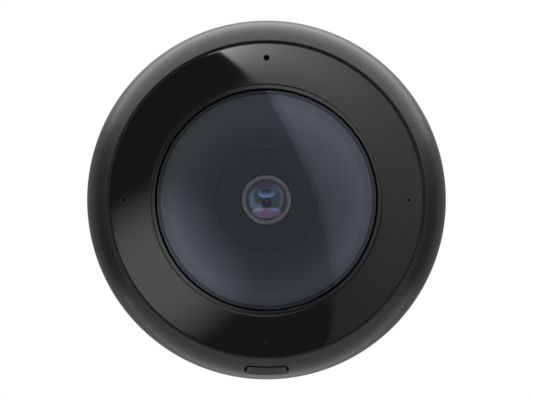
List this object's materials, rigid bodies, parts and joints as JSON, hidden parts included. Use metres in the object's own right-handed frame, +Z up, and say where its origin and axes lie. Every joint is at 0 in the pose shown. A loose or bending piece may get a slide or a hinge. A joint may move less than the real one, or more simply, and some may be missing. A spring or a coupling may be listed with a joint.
{
  "type": "fisheye camera",
  "caption": "Round fisheye camera on a twist-lock wall plate, with a gloss black ring window, a shallow clear dome, a release tab in its rim and a socket in its back.",
  "frame": {"origin": "centre of the wall plate's back face, in the wall plane", "axes": "+Y into the wall, -Y out of the wall towards the viewer, +Z up the wall, +X to the right as seen from the front"},
  "size_m": [0.146, 0.0427, 0.146],
  "materials": {
    "charcoal_casing": "fine matt moulded texture, charcoal",
    "plate_plastic": "matt moulded, dark grey",
    "cast_metal": "dark coated die casting",
    "black_window": "polished black, infrared passing",
    "trim_black": "satin black",
    "clear_dome": "clear polished moulding",
    "liner_black": "satin black",
    "bezel_grey": "satin dark grey",
    "lens_glass": "coated optical glass",
    "lens_black": "matt black anodised",
    "filter_glass": "coated flat glass",
    "board_green": "solder mask over glass fibre",
    "chip_black": "moulded chip package",
    "sensor_die": "image sensor under cover glass",
    "connector_ivory": "moulded connector",
    "ribbon_amber": "film with copper tracks",
    "pad_blue": "soft thermal pad",
    "capacitor_can": "sleeved can",
    "socket_shell": "tinned shield",
    "contact_gold": "gold plated",
    "coil_copper": "wound enamelled wire",
    "seal_rubber": "black silicone",
    "screw_steel": "plated steel",
    "spring_steel": "bright spring steel",
    "lamp_clear": "clear lamp lens",
    "pipe_clear": "clear light pipe",
    "button_white": "white moulded pin"
  },
  "bodies": {
    "plate": {"wall_plate": "plate_plastic"},
    "tab": {"release_tab": "trim_black"},
    "filter_slide": {"filter_carrier": "trim_black", "day_filter": "filter_glass", "night_filter": "filter_glass"},
    "reset_button": {"reset_plunger": "button_white", "switch_stem": "button_white"},
    "camera": {"rear_housing": "cast_metal", "keeper_ring": "plate_plastic", "keeper_screws": "screw_steel", "latch_leaf": "spring_steel", "latch_screw": "screw_steel", "front_casing": "charcoal_casing", "casing_screws": "screw_steel", "casing_seal": "seal_rubber", "fascia": "black_window", "window_seal": "seal_rubber", "dome_ring": "trim_black", "dome": "clear_dome", "dome_seal": "seal_rubber", "inner_shroud": "liner_black", "lens_collar": "liner_black", "lens_bezel": "bezel_grey", "front_lens": "lens_glass", "lens_barrel": "lens_black", "inner_lenses": "lens_glass", "lens_holder": "lens_black", "filter_housing": "trim_black", "filter_coil": "coil_copper", "image_sensor": "sensor_die", "sensor_board": "board_green", "sensor_board_screws": "screw_steel", "sensor_ribbon": "ribbon_amber", "ribbon_connectors": "connector_ivory", "main_board": "board_green", "main_board_screws": "screw_steel", "processor": "chip_black", "thermal_pad": "pad_blue", "memory_chips": "chip_black", "network_transformer": "chip_black", "capacitors": "capacitor_can", "network_socket": "socket_shell", "socket_contacts": "contact_gold", "cable_seal": "seal_rubber", "infrared_board": "board_green", "infrared_board_screws": "screw_steel", "infrared_lamps": "lamp_clear", "light_sensor": "chip_black", "microphones": "chip_black", "microphone_boots": "seal_rubber", "status_lamp": "lamp_clear", "light_pipe": "pipe_clear", "breather_vent": "trim_black", "reset_switch": "chip_black"}
  },
  "joints": [
    {"name": "camera_twist", "type": "hinge", "parent": "plate", "child": "camera", "pos_m": [0, 0, 0], "axis": [0, -1, 0], "range_deg": [0, 30]},
    {"name": "tab_press", "type": "slide", "parent": "camera", "child": "tab", "axis": [0, 1, 0], "range_m": [0, 0.0016], "stiffness_N_per_m": 1500, "springref_m": -0.0005, "deforming": ["latch_leaf"]},
    {"name": "filter_shift", "type": "slide", "parent": "camera", "child": "filter_slide", "axis": [-1, 0, 0], "range_m": [0, 0.0092]},
    {"name": "reset_press", "type": "slide", "parent": "camera", "child": "reset_button", "axis": [0, -1, 0], "range_m": [0, 0.00035], "stiffness_N_per_m": 3000, "springref_m": -0.0003}
  ]
}
